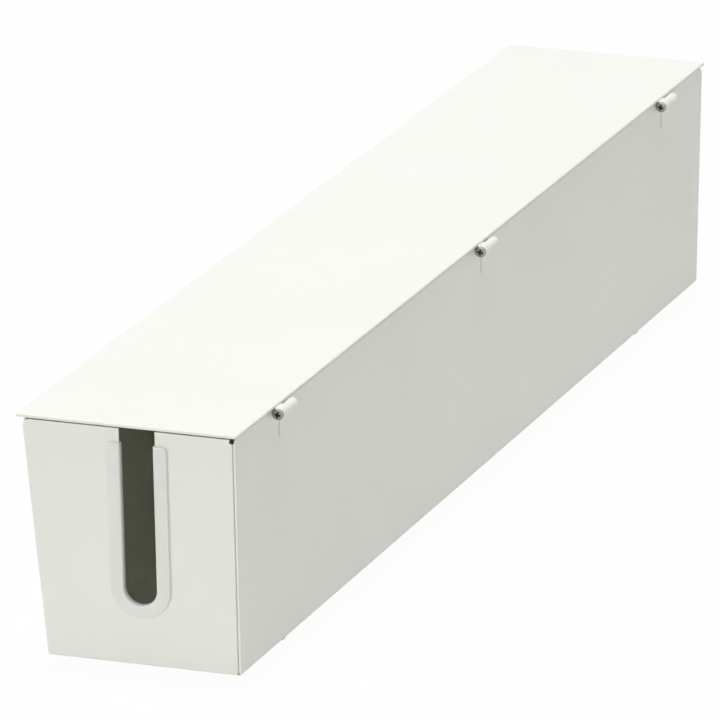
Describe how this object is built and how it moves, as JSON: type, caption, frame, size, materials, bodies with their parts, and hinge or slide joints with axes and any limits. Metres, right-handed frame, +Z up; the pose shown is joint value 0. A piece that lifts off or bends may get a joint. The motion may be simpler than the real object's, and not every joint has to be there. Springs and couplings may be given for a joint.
{
  "type": "cable organizer box",
  "caption": "Long white sheet-steel cable organizer box with a flat lid hinged along the back and a trimmed cable slot in each end.",
  "frame": {"origin": "on the floor, in the middle of the overall footprint", "axes": "+X along the box, +Y towards the hinged back wall, +Z up"},
  "size_m": [0.6, 0.0964, 0.1071],
  "materials": {
    "white_powder_coat": "fine matt powder coat",
    "trim_plastic": "smooth semi-matt",
    "screw_steel": "zinc plated",
    "foot_rubber": "matt pale rubber"
  },
  "bodies": {
    "box": {"foot_back_left": "foot_rubber", "foot_back_right": "foot_rubber", "foot_front_left": "foot_rubber", "foot_front_right": "foot_rubber", "hinge_screw_left": "screw_steel", "hinge_screw_middle": "screw_steel", "hinge_screw_right": "screw_steel", "slot_trim_left": "trim_plastic", "slot_trim_right": "trim_plastic", "tray": "white_powder_coat", "wall_barrel_left": "white_powder_coat", "wall_barrel_middle": "white_powder_coat", "wall_barrel_right": "white_powder_coat"},
    "lid": {"lid_barrel_left": "white_powder_coat", "lid_barrel_middle": "white_powder_coat", "lid_barrel_right": "white_powder_coat", "lid_panel": "white_powder_coat"}
  },
  "joints": [
    {"name": "lid_hinge", "type": "hinge", "parent": "box", "child": "lid", "pos_m": [0, 0.0459, 0.10372], "axis": [-1, 0, 0], "range_deg": [0, 245]}
  ]
}
